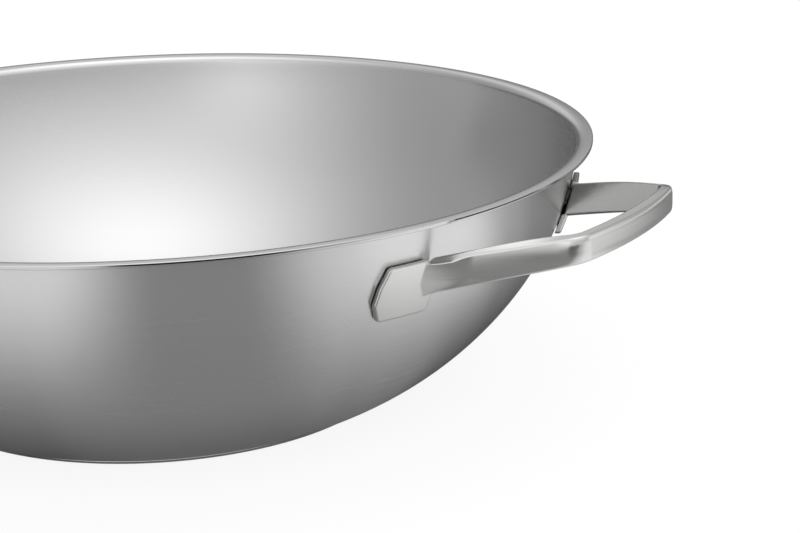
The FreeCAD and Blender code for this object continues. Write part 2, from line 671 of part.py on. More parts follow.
def strip_edges(shape):
    """The strip's long edges: everything but its upright lines and cut ends."""
    out = []
    for i, e in enumerate(shape.Edges, start=1):
        a, b = e.Vertexes[0].Point, e.Vertexes[-1].Point
        upright = abs(a.x - b.x) < 1e-3 and abs(a.y - b.y) < 1e-3
        if mid_point(e).x > 151.0 and not upright:
            out.append(i)
    return out


def plate_edges(shape):
    """Outline of a foot plate's outer face, but for the side inside the arm."""
    n = profile_numbers(-val("foot_gap") - val("foot_skin"))
    out = []
    for i, e in enumerate(shape.Edges, start=1):
        m = mid_point(e)
        k, r = n["k"][2], n["r"][2]
        if k[1] - m.z > r * math.cos(math.radians(n["a"][1])):
            k, r = n["k"][1], n["r"][1]
        face = k[0] + math.sqrt(r * r - (k[1] - m.z) ** 2)
        if abs(math.hypot(m.x, m.y) - face) > 0.1:
            continue
        along = (abs(math.atan2(m.y, m.x)) - math.radians(val("foot_azimuth"))) * face
        if along < -8.0 and m.z > val("foot_step_level") - 0.3:
            continue
        out.append(i)
    return out


strip_round = rounded("strip_rounded", strip, strip_edges(strip.Shape), "handle_round")
strip_cut = doc.addObject("Part::Cut", "strip_trimmed")
strip_cut.Base, strip_cut.Tool = strip_round, inside
feet = []
for tag, sgn in (("left", 1), ("right", -1)):
    sk = foot_outline("foot_outline_" + tag, sgn)
    az = math.radians(sgn * val("foot_azimuth"))
    prism = extrude("foot_prism_" + tag, sk, V(math.cos(az), math.sin(az), 0), 200.0)
    foot = doc.addObject("Part::Common", "foot_" + tag)
    foot.Base, foot.Tool = band, prism
    doc.recompute()
    feet.append(rounded("foot_%s_rounded" % tag, foot, plate_edges(foot.Shape), "foot_round"))
handle = doc.addObject("Part::MultiFuse", "handle_right")
handle.Shapes = [strip_cut] + feet
handle.Refine = True
doc.recompute()

other = doc.addObject("Part::Mirroring", "handle_left")
other.Source = handle
other.Normal = V(1, 0, 0)
other.Base = V(0, 0, 0)

# Weld projections: short pads left between the wall and the foot plates.
gap_ring = shell_band("weld_gap", "0", 0.0, ref("foot_gap"), val("foot_gap"))


def studs(name, handle_side):
    pins = []
    for foot_side in (1, -1):
        for along, level in (("stud_away", "stud_high"), ("stud_away", "stud_low"),
                             ("stud_near", "stud_high"), ("stud_near", "stud_low")):
            pin = doc.addObject("Part::Cylinder", "%s_pin" % name)
            pin.Radius = val("stud_radius")
            pin.setExpression("Radius", ref("stud_radius"))
            pin.Height = 200.0
            step = val(along) / val("arm_station")
            az = foot_side * (math.radians(val("foot_azimuth")) + step)
            out = V(math.cos(az) * handle_side, math.sin(az), 0)
            pin.Placement = App.Placement(V(0, 0, val(level)), App.Rotation(V(0, 0, 1), out))
            pin.setExpression("Placement.Base.z", ref(level))
            pins.append(pin)
    group = doc.addObject("Part::Compound", name + "_pins")
    group.Links = pins
    cut = doc.addObject("Part::Common", name)
    cut.Base, cut.Tool = group, gap_ring
    return cut


studs_right = studs("weld_studs_right", 1)
studs_left = studs("weld_studs_left", -1)
doc.recompute()

# ------------------------------------------------------------ export
NODES = {
    "bowl_inner_skin": inner,
    "bowl_core": core,
    "bowl_outer_skin": outer,
    "base_plate": base,
    "handle_right": handle,
    "handle_left": other,
    "weld_studs_right": studs_right,
    "weld_studs_left": studs_left,
}
for node, obj in NODES.items():
    obj.Label = node

bad = []
for obj in doc.Objects:
    if "Invalid" in obj.State or "Error" in obj.State:
        bad.append("%s: %s" % (obj.Name, obj.State))
    if obj.TypeId == "Sketcher::SketchObject":
        if obj.solve() != 0 or not obj.FullyConstrained:
            bad.append("%s: sketch not solved" % obj.Name)
for node, obj in NODES.items():
    if obj.Shape.isNull() or not obj.Shape.isValid() or not obj.Shape.Solids:
        bad.append("%s: no valid solid" % node)
if bad:
    raise RuntimeError("; ".join(bad))

os.makedirs("parts", exist_ok=True)
for node, obj in NODES.items():
    obj.Shape.exportStep("parts/%s.step" % node)
    print("%-18s solids %2d  volume %10.1f mm3" % (node, len(obj.Shape.Solids), obj.Shape.Volume))
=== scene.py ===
# Look of the wok pan: brushed steel bowl, base disc and the two welded loop
# handles, with a pale floor, soft studio light and the camera.
# Metres, same frame as the CAD: origin at the centre of the base, +Z up,
# +X through the handles.
import bpy
import bmesh
import math
import json
import numpy as np
from mathutils import Matrix, Vector

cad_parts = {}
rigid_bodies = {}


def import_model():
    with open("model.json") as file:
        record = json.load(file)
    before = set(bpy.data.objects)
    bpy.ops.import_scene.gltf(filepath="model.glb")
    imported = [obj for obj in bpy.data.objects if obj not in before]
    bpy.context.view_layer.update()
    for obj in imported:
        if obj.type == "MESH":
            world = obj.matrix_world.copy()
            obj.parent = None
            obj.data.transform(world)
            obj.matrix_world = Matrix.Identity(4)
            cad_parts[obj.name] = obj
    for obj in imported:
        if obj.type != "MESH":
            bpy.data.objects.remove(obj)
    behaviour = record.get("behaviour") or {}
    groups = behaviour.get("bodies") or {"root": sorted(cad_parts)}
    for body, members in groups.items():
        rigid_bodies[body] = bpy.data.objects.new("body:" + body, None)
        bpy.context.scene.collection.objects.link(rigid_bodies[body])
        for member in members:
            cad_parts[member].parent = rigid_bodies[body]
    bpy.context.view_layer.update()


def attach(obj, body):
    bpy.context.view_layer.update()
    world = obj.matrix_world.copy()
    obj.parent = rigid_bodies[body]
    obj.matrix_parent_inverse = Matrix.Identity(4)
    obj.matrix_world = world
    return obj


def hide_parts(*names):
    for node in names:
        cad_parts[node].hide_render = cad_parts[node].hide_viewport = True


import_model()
scene = bpy.context.scene
MM = 0.001


# ------------------------------------------------------------ wall surface
# The same three tangent arcs as the pressed wall, in millimetres.
BASE_T, FLOOR_R = 1.6, 94.3
ARC_R = (12.0, 137.18, 115.51)
ARC_A = (math.radians(24.68), math.radians(24.68 + 28.86))
K1 = (FLOOR_R, BASE_T + ARC_R[0])
K2 = (K1[0] + (ARC_R[0] - ARC_R[1]) * math.sin(ARC_A[0]),
      K1[1] - (ARC_R[0] - ARC_R[1]) * math.cos(ARC_A[0]))
K3 = (K2[0] + (ARC_R[1] - ARC_R[2]) * math.sin(ARC_A[1]),
      K2[1] - (ARC_R[1] - ARC_R[2]) * math.cos(ARC_A[1]))


def off_wall(rho, z):
    """Distance outside the wall, for the upper two arcs (the handles' reach)."""
    joint = K3[1] - ARC_R[2] * math.cos(ARC_A[1])
    upper = np.hypot(rho - K3[0], z - K3[1]) - ARC_R[2]
    lower = np.hypot(rho - K2[0], z - K2[1]) - ARC_R[1]
    # the arcs are tangent at the joint, so a short blend keeps it seamless
    w = np.clip((z - joint + 1.0) / 2.0, 0.0, 1.0)
    return upper * w + lower * (1.0 - w)


def wall_radius(z):
    return K3[0] + np.sqrt(np.maximum(ARC_R[2] ** 2 - (z - K3[1]) ** 2, 0.0))


# ------------------------------------------------------------ distance tools
def round_max(a, b, r):
    """Intersection whose shared edge is rounded by r."""
    return np.where((a > -r) & (b > -r),
                    np.hypot(np.maximum(a + r, 0), np.maximum(b + r, 0)) - r,
                    np.maximum(a, b))


def fold_min(a, b, r):
    """Union whose inside corner is filled by a fillet of r."""
    return np.where((a < r) & (b < r),
                    r - np.hypot(np.maximum(r - a, 0), np.maximum(r - b, 0)),
                    np.minimum(a, b))


def ramp(x, a, b):
    t = np.clip((x - a) / (b - a), 0.0, 1.0)
    return t * t * (3.0 - 2.0 * t)


def polygon_distance(px, py, pts):
    """Signed distance to a closed polygon, negative inside."""
    best = np.full(px.shape, 1e9)
    sign = np.ones(px.shape)
    n = len(pts)
    for i in range(n):
        ax, ay = pts[i]
        bx, by = pts[i - 1]
        ex, ey = bx - ax, by - ay
        wx, wy = px - ax, py - ay
        t = np.clip((wx * ex + wy * ey) / (ex * ex + ey * ey), 0, 1)
        best = np.minimum(best, (wx - ex * t) ** 2 + (wy - ey * t) ** 2)
        c1, c2, c3 = py >= ay, py < by, ex * wy > ey * wx
        flip = (c1 & c2 & c3) | (~c1 & ~c2 & ~c3)
        sign = np.where(flip, -sign, sign)
    return sign * np.sqrt(best)


def inset_polygon(pts, r):
    """Moves every side of a counter-clockwise polygon in by r."""
    out = []
    n = len(pts)
    for i in range(n):
        p0, p1, p2 = (np.array(pts[i - 1], float), np.array(pts[i], float),
                      np.array(pts[(i + 1) % n], float))
        d1, d2 = p1 - p0, p2 - p1
        d1, d2 = d1 / np.linalg.norm(d1), d2 / np.linalg.norm(d2)
        n1, n2 = np.array([-d1[1], d1[0]]), np.array([-d2[1], d2[0]])
        m = np.array([n1, n2])
        out.append(tuple(np.linalg.solve(m, [n1 @ p1 + r, n2 @ p1 + r])))
    return out


# ------------------------------------------------------------ handle shape
FOOT_AZ = math.radians(22.7)
GAP, PLATE_T = 0.4, 2.3
# foot plate outline: distance from its centre line (away from the grip is
# positive) and height; the side towards the grip ends inside the arm
FOOT_OUTLINE = [(12.7, 74.6), (11.6, 81.2), (8.4, 88.5), (-12.0, 88.5),
                (-11.4, 78.0), (-12.2, 75.4), (-11.2, 67.7), (9.8, 67.7)]
REACH, BOW = 217.5, 196.0
IN_REACH, IN_BOW = 213.0, 192.0


def plan_line(span, splay, station=164.0):
    a = math.radians(splay)
    return (station, span, math.sin(a), math.cos(a))     # point and outward normal


def corner_centre(line, reach, bow, r):
    """Centre of the plan fillet between an arm line and the bowed grip face."""
    x0, v0, nx, nv = line
    kx = reach - bow
    px, pv = x0 - nx * r, v0 - nv * r
    dx, dv = nv, -nx
    bx, bv = px - kx, pv
    b = bx * dx + bv * dv
    c = bx * bx + bv * bv - (bow - r) ** 2
    t = -b + math.sqrt(b * b - c)
    return px + t * dx, pv + t * dv


def plan_distance(x, v, shift, line, reach, bow, r):
    """Distance outside a plan outline; shift moves the arm line outwards."""
    x0, v0, nx, nv = line
    cx, cv = corner_centre(line, reach, bow, r)
    kx = reach - bow
    d_line = (x - x0) * nx + (v - v0) * nv - shift * nv
    d_bow = np.hypot(x - kx, v) - bow
    gx, gv = cx - kx, cv
    g = math.hypot(gx, gv)
    gx, gv = gx / g, gv / g                               # bow normal at the joint
    qx, qv = x - cx, v - cv
    past_line = qx * nv - qv * nx                         # along the arm, to the grip
    past_bow = -qx * gv + qv * gx                         # along the grip, to the arm
    d_arc = np.hypot(qx, qv) - r
    d = np.where(past_line < 0, d_line, np.where(past_bow < 0, d_bow, d_arc))
    # near the bend the shift has faded out, so the three pieces meet there
    return d


OUT_LINE = plan_line(57.05, 18.8)
IN_LINE = plan_line(54.6, 21.0)


def handle_distance(x, y, z):
    v = np.abs(y)
    rho = np.hypot(x, v)
    n = off_wall(rho, z)

    # arm and grip
    along = ramp(x, 160.0, 209.0)
    lean_out = (1.0 - along) * 0.19 * np.maximum(z - 81.5, 0.0)
    lean_in = (1.0 - along) * 0.24 * (z - 82.0)
    d_out = plan_distance(x, v, lean_out, OUT_LINE, REACH, BOW, 9.0)
    d_in = plan_distance(x, v, lean_in, IN_LINE, IN_REACH, IN_BOW, 6.0)
    rise = np.where(x < 213.0, (x - 164.0) / 49.0, 1.0)
    rise = np.minimum(rise, 1.0)
    soft = np.clip((x - 208.0) / 10.0, 0.0, 1.0)
    rise = rise - 0.051 * soft * (1.0 - soft) * 2.0 * np.where(x < 213.0, soft, 1.0 - soft)
    hump = 1.05 * np.sin(math.pi * np.clip(rise, 0.0, 1.0) ** 1.3)     # the top edge is bowed up
    top_in = 89.1 + (98.1 - 89.1) * rise + hump
    low_out = 75.45 + (87.75 - 75.45) * rise
    drop = np.clip(2.83 - 0.0435 * (x - 164.0), 0.6, 2.9) + hump
    lift = 1.0 * (1.0 - ramp(x, 170.0, 212.0)) + 0.2
    wide = np.maximum(d_in - d_out, 0.5)
    w = np.clip(d_in / wide, -0.2, 1.0) - 0.08 * np.clip(d_out, 0.0, 3.2) ** 2
    slope = 0.98
    d_top = (z - (top_in - drop * w)) * slope
    d_low = ((low_out + lift * (1.0 - w)) - z) * slope
    mid = 0.5 * (top_in - drop + low_out)
    half = 0.5 * (top_in - drop - low_out)
    u = (z - mid) / half
    # the arm's face is fullest just under half height, the grip's at half height
    crown = (0.34 - 0.10 * ramp(x, 175.0, 205.0)) * (np.clip(u, -1.1, 1.1) + 0.4) ** 2
    round_face = np.where(u > 0, 0.75, 0.65) * np.abs(np.clip(u, -1.15, 1.15)) ** 4
    crown = crown + (round_face - crown) * ramp(x, 203.0, 213.0)
    d_face = d_out + crown
    arm = round_max(round_max(d_face, d_top, 0.5), d_low, 0.8)
    # on the finger side the strip turns into the foot with a tight bend
    back = round_max(-d_in, GAP - n, 1.5)
    back = round_max(back, d_top, 0.7)
    back = round_max(back, d_low, 0.8)
    arm = np.maximum(arm, back)

    # foot plate
    a = (np.arctan2(v, x) - FOOT_AZ) * wall_radius(z)
    corner = 2.2
    d_edge = polygon_distance(a, z, inset_polygon(FOOT_OUTLINE, corner)) - corner
    d_skin = n - (GAP + PLATE_T)
    d_back = GAP - n
    plate = round_max(round_max(d_edge, d_skin, 0.8), d_back, 0.2)
    # inside the arm's height the arm itself takes over on the grip side
    plate = np.maximum(plate, -np.maximum(a + 8.0, 76.2 - z))
    # the plate flows into the arm's outer face: a wide hollow that meets the
    # flat plate along a crease
    hollow = 4.0 + 13.0 * ramp(z, 74.0, 82.0) - 0.8 * ramp(z, 84.5, 88.0)
    flow = fold_min(d_face, d_skin + 0.36 * hollow, hollow)
    flow = round_max(round_max(flow, d_top, 0.35), d_low, 0.8)
    flow = np.maximum(flow, np.maximum(back, d_out - 1.1 * hollow))
    both = fold_min(np.minimum(arm, flow), plate, 0.2)
    # where the arm stands on the plate, its sloping top is the topmost surface
    both = np.maximum(both, np.minimum(d_top, -d_out))
    return round_max(both, d_back, 0.2)


def contour(fn, lo, hi, cell):
    """Surface-net mesh of fn = 0 on a regular grid, moved onto the surface."""
    nx, ny, nz = (int(math.ceil((h - l) / cell)) + 1 for l, h in zip(lo, hi))
    gx = lo[0] + np.arange(nx) * cell
    gy = lo[1] + (np.arange(ny) - (ny - 1) / 2.0) * cell + (hi[1] - lo[1]) / 2.0
    gz = lo[2] + np.arange(nz) * cell
    f = np.empty((nx, ny, nz))
    for i in range(nx):                                   # slab by slab keeps memory low
        Y, Z = np.meshgrid(gy, gz, indexing="ij")
        f[i] = fn(np.full(Y.shape, gx[i]), Y, Z)
    s = f < 0
    # cells that the surface crosses
    c = [s[dx:nx - 1 + dx, dy:ny - 1 + dy, dz:nz - 1 + dz]
         for dx in (0, 1) for dy in (0, 1) for dz in (0, 1)]
    total = sum(k.astype(np.int8) for k in c)
    act = (total > 0) & (total < 8)
    idx = -np.ones(act.shape, dtype=np.int64)
    cells = np.argwhere(act)
    idx[act] = np.arange(len(cells))
    pos = np.zeros((len(cells), 3))
    cnt = np.zeros(len(cells))
    ci, cj, ck = cells.T
    corners = [(dx, dy, dz) for dx in (0, 1) for dy in (0, 1) for dz in (0, 1)]
    for a in corners:
        for b in corners:
            if sum(b) != sum(a) + 1 or any(q < p for p, q in zip(a, b)):
                continue
            fa = f[ci + a[0], cj + a[1], ck + a[2]]
            fb = f[ci + b[0], cj + b[1], ck + b[2]]
            hit = (fa < 0) != (fb < 0)
            t = np.where(hit, fa / np.where(hit, fa - fb, 1.0), 0.0)
            for ax in range(3):
                pos[:, ax] += np.where(hit, a[ax] + t * (b[ax] - a[ax]), 0.0)
            cnt += hit
    pos = (pos / cnt[:, None] + cells) * cell
    pos += np.array([gx[0], gy[0], gz[0]])
    faces = []
    for ax in range(3):
        o = [0, 1, 2]
        o.remove(ax)
        hi_s = [slice(None)] * 3
        lo_s = [slice(None)] * 3
        hi_s[ax], lo_s[ax] = slice(1, None), slice(0, -1)
        sa, sb = s[tuple(lo_s)], s[tuple(hi_s)]
        cross = np.argwhere(sa != sb)
        for other in o:
            lim = act.shape[other]
            cross = cross[(cross[:, other] > 0) & (cross[:, other] < lim)]
        e1, e2 = np.zeros(3, int), np.zeros(3, int)
        e1[o[0]], e2[o[1]] = 1, 1
        q = np.stack([idx[tuple((cross - e1 - e2).T)], idx[tuple((cross - e2).T)],
                      idx[tuple(cross.T)], idx[tuple((cross - e1).T)]], 1)
        inside_first = sa[tuple(cross.T)]
        turn = inside_first if ax != 1 else ~inside_first
        q = np.where(turn[:, None], q, q[:, ::-1])
        faces.append(q)
    faces = np.concatenate(faces)

    def grad(p, e=0.02):
        g = np.empty_like(p)
        for ax in range(3):
            d = np.zeros(3)
            d[ax] = e
            g[:, ax] = (fn(*(p + d).T) - fn(*(p - d).T)) / (2 * e)
        return g

    def settle(pos, rounds):
        for _ in range(rounds):
            val = fn(*pos.T)
            g = grad(pos)
            step = val[:, None] * g / np.maximum((g * g).sum(1), 0.25)[:, None]
            size = np.linalg.norm(step, axis=1)
            step *= np.minimum(1.0, 0.35 * cell / np.maximum(size, 1e-9))[:, None]
            pos = pos - step
        return pos, g

    # even spacing first, so no sliver faces fold over
    ea = np.concatenate([faces[:, k] for k in range(4)] + [faces[:, (k + 1) % 4] for k in range(4)])
    eb = np.concatenate([faces[:, (k + 1) % 4] for k in range(4)] + [faces[:, k] for k in range(4)])
    deg = np.bincount(ea, minlength=len(pos)).astype(float)
    pos, g = settle(pos, 2)
    for _ in range(5):
        mean = np.stack([np.bincount(ea, weights=pos[eb, k], minlength=len(pos)) for k in range(3)], 1)
        move = 0.6 * (mean / deg[:, None] - pos)
        gn = g / np.maximum(np.linalg.norm(g, axis=1), 1e-9)[:, None]
        pos = pos + move - (move * gn).sum(1)[:, None] * gn
        pos, g = settle(pos, 1)
    pos, g = settle(pos, 2)
    return pos, faces


def mesh_piece(name, verts, faces):
    me = bpy.data.meshes.new(name)
    me.from_pydata((verts * MM).tolist(), [], faces.tolist())
    me.polygons.foreach_set("use_smooth", np.ones(len(me.polygons), dtype=bool))
    me.update()
    ob = bpy.data.objects.new(name, me)
    scene.collection.objects.link(ob)
    return ob


# ------------------------------------------------------------ spun skins
RIM_R, RIM_H, LIP = 180.0, 103.06, 2.0
T_IN, T_CORE, T_OUT = 0.4, 0.8, 0.3
T_ALL = T_IN + T_CORE + T_OUT
BASE_R, BASE_EDGE = 95.68, 0.7
# the turned-out rim levels off along a wide arc, then ends in a squared edge
EASE_A, EASE_R, RIM_Q, RIM_FOOT = math.radians(7.0), 18.0, 0.3, 0.38
DIP = (EASE_R - LIP - T_ALL) * (1.0 - math.cos(EASE_A))
A3 = math.acos((K3[1] + LIP + T_ALL + DIP - RIM_H) / (ARC_R[2] + LIP))
K4 = (K3[0] + (ARC_R[2] + LIP) * math.sin(A3), K3[1] - (ARC_R[2] + LIP) * math.cos(A3))
K5 = (K4[0] + (EASE_R - LIP - T_ALL) * math.sin(EASE_A), RIM_H - EASE_R)


def arc_points(c, r, a0, a1, count):
    """Points at angle a from straight down, turning from a0 to a1."""
    return [(c[0] + r * math.sin(a0 + (a1 - a0) * i / count),
             c[1] - r * math.cos(a0 + (a1 - a0) * i / count)) for i in range(count + 1)]


def wall_line(s_in, count=22):
    """Profile of the wall surface lying s_in inside the outer one, to the lip's top."""
    pts = [(r, BASE_T + s_in) for r in (0.0, 20.0, 40.0, 60.0, 80.0)]
    pts += arc_points(K1, ARC_R[0] - s_in, 0.0, ARC_A[0], 8)
    pts += arc_points(K2, ARC_R[1] - s_in, ARC_A[0], ARC_A[1], count)[1:]
    pts += arc_points(K3, ARC_R[2] - s_in, ARC_A[1], A3, count)[1:]
    r4 = LIP + s_in
    turn = [A3 + (EASE_A - A3) * k / 14.0 for k in range(1, 15)]
    pts += [(K4[0] - r4 * math.sin(a), K4[1] + r4 * math.cos(a)) for a in turn]
    r5 = EASE_R - T_ALL + s_in
    ease = [EASE_A * (1.0 - k / 5.0) for k in range(1, 6)]
    pts += [(K5[0] - r5 * math.sin(a), K5[1] + r5 * math.cos(a)) for a in ease]
    return pts


def spin(name, profile, steps=560, sharp_deg=35.0):
    """Turns a closed profile about Z; the points at radius 0 share a pole."""
    prof = []
    for p in profile:
        if not prof or math.hypot(p[0] - prof[-1][0], p[1] - prof[-1][1]) > 1e-4:
            prof.append(p)
    bm = bmesh.new()
    uv = bm.loops.layers.uv.new("turned")
    rings = []
    for r, z in prof:
        if r < 1e-6:
            rings.append([bm.verts.new((0, 0, z * MM))])
        else:
            rings.append([bm.verts.new((r * MM * math.cos(2 * math.pi * k / steps),
                                        r * MM * math.sin(2 * math.pi * k / steps), z * MM))
                          for k in range(steps)])
    run = [0.0]
    for a, b in zip(prof, prof[1:] + prof[:1]):
        run.append(run[-1] + math.hypot(a[0] - b[0], a[1] - b[1]))
    n = len(rings)
    for i in range(n):
        a, b = rings[i], rings[(i + 1) % n]
        if len(a) == 1 and len(b) == 1:
            continue
        for k in range(steps):
            k2 = (k + 1) % steps
            if len(a) == 1:
                vs, uvs = (a[0], b[k2], b[k]), ((k + 0.5, 0), (k + 1, 1), (k, 1))
            elif len(b) == 1:
                vs, uvs = (a[k], a[k2], b[0]), ((k, 0), (k + 1, 0), (k + 0.5, 1))
            else:
                vs, uvs = (a[k], a[k2], b[k2], b[k]), ((k, 0), (k + 1, 0), (k + 1, 1), (k, 1))
            f = bm.faces.new(vs)
            f.smooth = True
            for lp_, (u, w) in zip(f.loops, uvs):
                lp_[uv].uv = (u / steps, (run[i] + w * (run[i + 1] - run[i])) / run[-1])
    bmesh.ops.recalc_face_normals(bm, faces=bm.faces)
    limit = math.radians(sharp_deg)
    for e in bm.edges:
        if len(e.link_faces) == 2 and e.calc_face_angle(0.0) > limit:
            e.smooth = False
    me = bpy.data.meshes.new(name)
    bm.to_mesh(me)
    bm.free()
    ob = bpy.data.objects.new(name, me)
    scene.collection.objects.link(ob)
    return ob


def inner_skin_profile():
    """Inner layer: cooking surface, squared rim edge, and its bonded back."""
    q, f, ti, low = RIM_Q, RIM_FOOT, T_IN, RIM_H - T_ALL
    quarter = [math.pi / 2 * k / 6 for k in range(0, 7)]
    p = wall_line(T_ALL) + [(RIM_R - q - 0.6, RIM_H)]
    p += [(RIM_R - q + q * math.sin(a), RIM_H - q + q * math.cos(a)) for a in quarter]
    p += [(RIM_R - f + f * math.cos(a), low + f - f * math.sin(a)) for a in quarter]
    p += [(RIM_R - ti, low), (RIM_R - ti, RIM_H - ti)]
    p += wall_line(T_ALL - ti)[::-1]
    return p


def outer_skin_profile():
    """Outer layer: the wall that shows outside, up to under the rim."""
    low = RIM_H - T_ALL
    p = wall_line(0.0) + [(RIM_R - T_IN, low), (RIM_R - T_IN, low + T_OUT)]
    p += wall_line(T_OUT)[::-1]
    return p


def base_profile():
    """Thin disc under the bowl with a rounded, polished edge and a turned face."""
    e = BASE_EDGE
    p = [(r, BASE_T) for r in (0.0, 30.0, 60.0, 90.0, BASE_R - e)]
    p += [(BASE_R - e + e * math.sin(a), BASE_T - e + e * math.cos(a))
          for a in [math.pi / 2 * k / 8 for k in range(1, 9)]]
    p += [(BASE_R - e + e * math.cos(a), e - e * math.sin(a))
          for a in [math.pi / 2 * k / 8 for k in range(0, 9)]]
    p += [(r, 0.0) for r in (90.0, 60.0, 30.0, 0.0)]
    return p


# ------------------------------------------------------------ materials
def new_material(name):
    m = bpy.data.materials.new(name)
    m.use_nodes = True
    nt = m.node_tree
    nt.nodes.clear()
    out = nt.nodes.new("ShaderNodeOutputMaterial")
    b = nt.nodes.new("ShaderNodeBsdfPrincipled")
    nt.links.new(b.outputs["BSDF"], out.inputs["Surface"])
    return m, nt, b


def node(nt, kind, **props):
    n = nt.nodes.new(kind)
    for k, v in props.items():
        setattr(n, k, v)
    return n


def math_node(nt, op, a, b=None, c=None):
    n = node(nt, "ShaderNodeMath", operation=op)
    for i, s in enumerate((a, b, c)):
        if s is None:
            continue
        if isinstance(s, (int, float)):
            n.inputs[i].default_value = s
        else:
            nt.links.new(s, n.inputs[i])
    return n.outputs[0]


def turned_coords(nt, around, across):
    """Coordinates that follow a turned surface: slow around, fast across."""
    tc = node(nt, "ShaderNodeTexCoord")
    sep = node(nt, "ShaderNodeSeparateXYZ")
    nt.links.new(tc.outputs["Object"], sep.inputs[0])
    x, y, z = sep.outputs
    ang = math_node(nt, "ARCTAN2", y, x)
    rad = math_node(nt, "SQRT", math_node(nt, "ADD", math_node(nt, "MULTIPLY", x, x),
                                          math_node(nt, "MULTIPLY", y, y)))
    ca, sa = math_node(nt, "COSINE", ang), math_node(nt, "SINE", ang)
    run = math_node(nt, "ADD", math_node(nt, "MULTIPLY", rad, 0.62), z)
    comb = node(nt, "ShaderNodeCombineXYZ")
    nt.links.new(math_node(nt, "MULTIPLY", ca, around), comb.inputs[0])
    nt.links.new(math_node(nt, "MULTIPLY", sa, around), comb.inputs[1])
    nt.links.new(math_node(nt, "MULTIPLY", run, across), comb.inputs[2])
    return comb.outputs[0]


def noise(nt, vec, scale, detail=2.0, rough=0.5):
    n = node(nt, "ShaderNodeTexNoise")
    n.inputs["Scale"].default_value = scale
    n.inputs["Detail"].default_value = detail
    n.inputs["Roughness"].default_value = rough
    nt.links.new(vec, n.inputs["Vector"])
    return n.outputs["Fac"]


def map_range(nt, value, a, b, c, d):
    n = node(nt, "ShaderNodeMapRange")
    nt.links.new(value, n.inputs["Value"])
    for k, v in zip(("From Min", "From Max", "To Min", "To Max"), (a, b, c, d)):
        n.inputs[k].default_value = v
    return n.outputs[0]


def colour_ramp(nt, fac, stops):
    n = node(nt, "ShaderNodeValToRGB")
    el = n.color_ramp.elements
    while len(el) < len(stops):
        el.new(0.5)
    for e, (p, c) in zip(el, stops):
        e.position = p
        e.color = (*c, 1.0)
    nt.links.new(fac, n.inputs[0])
    return n.outputs[0]


def spun_steel(name, base, rough, aniso, streak=1.0, grain=0.00002, polish=None):
    """Satin stainless with fine marks running round the pan."""
    m, nt, b = new_material(name)
    fine = noise(nt, turned_coords(nt, 3.0, 2600.0), 1.0, 2.0, 0.5)
    broad = noise(nt, turned_coords(nt, 2.0, 500.0), 1.0, 3.0, 0.6)
    tc = node(nt, "ShaderNodeTexCoord")
    cloud = noise(nt, tc.outputs["Object"], 9.0, 2.0)
    lo = tuple(c * (1.0 - 0.04 * streak) for c in base)
    hi = tuple(min(1.0, c * (1.0 + 0.04 * streak)) for c in base)
    col = colour_ramp(nt, broad, [(0.3, lo), (0.7, hi)])
    nt.links.new(col, b.inputs["Base Color"])
    r1 = map_range(nt, fine, 0.3, 0.7, rough - 0.03 * streak, rough + 0.03 * streak)
    r2 = math_node(nt, "ADD", r1, map_range(nt, broad, 0.3, 0.7, -0.01, 0.01))
    r3 = math_node(nt, "ADD", r2, map_range(nt, cloud, 0.3, 0.7, -0.01, 0.015))
    if polish:
        # the turned-out rim is buffed smoother than the wall
        sep = node(nt, "ShaderNodeSeparateXYZ")
        nt.links.new(tc.outputs["Object"], sep.inputs[0])
        rr = math_node(nt, "SQRT", math_node(nt, "ADD", math_node(nt, "MULTIPLY", sep.outputs[0], sep.outputs[0]),
                                             math_node(nt, "MULTIPLY", sep.outputs[1], sep.outputs[1])))
        r3 = math_node(nt, "MULTIPLY", r3, map_range(nt, rr, 0.1724, 0.1736, 1.0, polish))
        r3 = math_node(nt, "MULTIPLY", r3, map_range(nt, rr, 0.1796, 0.1798, 1.0, 0.35))
    nt.links.new(r3, b.inputs["Roughness"])
    b.inputs["Metallic"].default_value = 1.0
    b.inputs["Anisotropic"].default_value = aniso
    b.inputs["Anisotropic Rotation"].default_value = 0.25
    tan = node(nt, "ShaderNodeTangent", direction_type="RADIAL", axis="Z")
    nt.links.new(tan.outputs[0], b.inputs["Tangent"])
    bump = node(nt, "ShaderNodeBump")
    bump.inputs["Strength"].default_value = 0.06 * streak
    bump.inputs["Distance"].default_value = grain
    nt.links.new(fine, bump.inputs["Height"])
    nt.links.new(bump.outputs[0], b.inputs["Normal"])
    return m


def drawn_steel(name, base, rough):
    """Belt-finished stainless: soft grain along the handle."""
    m, nt, b = new_material(name)
    tc = node(nt, "ShaderNodeTexCoord")
    mp = node(nt, "ShaderNodeMapping")
    mp.inputs["Scale"].default_value = (60.0, 60.0, 1100.0)
    nt.links.new(tc.outputs["Object"], mp.inputs["Vector"])
    fine = noise(nt, mp.outputs[0], 1.0, 1.0, 0.5)
    mottle = noise(nt, tc.outputs["Object"], 70.0, 1.0, 0.5)
    lo = tuple(c * 0.985 for c in base)
    hi = tuple(min(1.0, c * 1.015) for c in base)
    nt.links.new(colour_ramp(nt, fine, [(0.2, lo), (0.8, hi)]), b.inputs["Base Color"])
    r1 = map_range(nt, fine, 0.2, 0.8, rough - 0.015, rough + 0.015)
    r2 = math_node(nt, "ADD", r1, map_range(nt, mottle, 0.2, 0.8, -0.015, 0.015))
    nt.links.new(r2, b.inputs["Roughness"])
    b.inputs["Metallic"].default_value = 1.0
    bump = node(nt, "ShaderNodeBump")
    bump.inputs["Strength"].default_value = 0.03
    bump.inputs["Distance"].default_value = 0.00001
    nt.links.new(fine, bump.inputs["Height"])
    nt.links.new(bump.outputs[0], b.inputs["Normal"])
    return m


